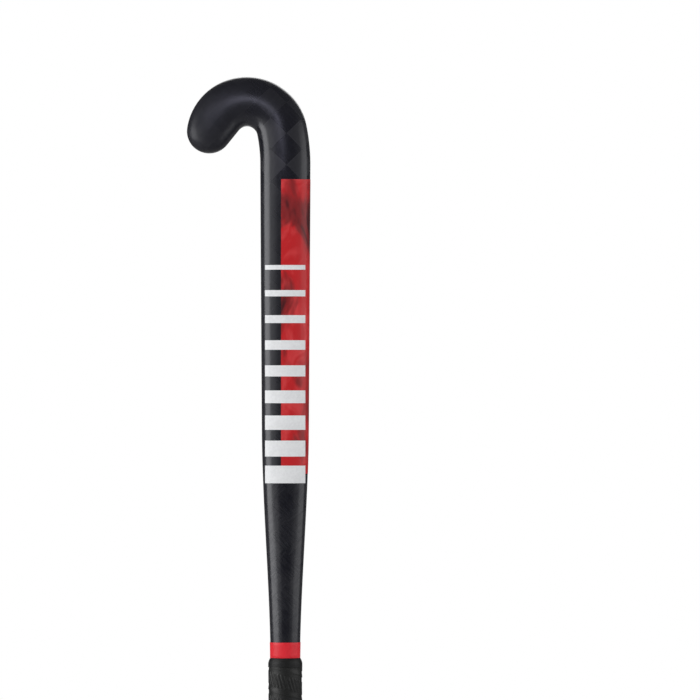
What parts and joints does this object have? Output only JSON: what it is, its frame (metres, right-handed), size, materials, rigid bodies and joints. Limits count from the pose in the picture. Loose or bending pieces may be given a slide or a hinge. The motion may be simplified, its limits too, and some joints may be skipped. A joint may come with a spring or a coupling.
{
  "type": "field hockey stick",
  "caption": "Hook-headed composite stick with a flat playing face, rounded back, low bow and wrapped cushion grip.",
  "frame": {"origin": "centre of the flat end of the butt cap", "axes": "+Z along the stick from butt to head, -X towards the toe of the hook, +Y out of the flat playing face, -Y out of the rounded back"},
  "size_m": [0.12, 0.0479, 0.927],
  "materials": {
    "lacquered_laminate": "satin lacquer over spread-tow carbon",
    "raw_laminate": "bare moulded laminate",
    "head_foam": "rigid structural foam",
    "handle_foam": "light expanded foam",
    "cap_rubber": "matte moulded rubber",
    "adhesive_tape": "double-sided cloth tape",
    "cushion_grip": "embossed polyurethane wrap",
    "black_tape": "smooth elastic tape",
    "red_tape": "semi-gloss tape",
    "red_film": "smoky red print under lacquer",
    "white_film": "white print under lacquer"
  },
  "bodies": {
    "root": {"stick_shell": "lacquered_laminate", "centre_rib": "raw_laminate", "head_core": "head_foam", "handle_foam_toe_side": "handle_foam", "handle_foam_heel_side": "handle_foam", "end_cap": "cap_rubber", "grip_adhesive": "adhesive_tape", "grip_tape": "cushion_grip", "finishing_tape": "black_tape", "collar_band": "red_tape", "heel_panel": "red_film", "back_bars": "white_film", "face_bars": "white_film"}
  },
  "joints": []
}
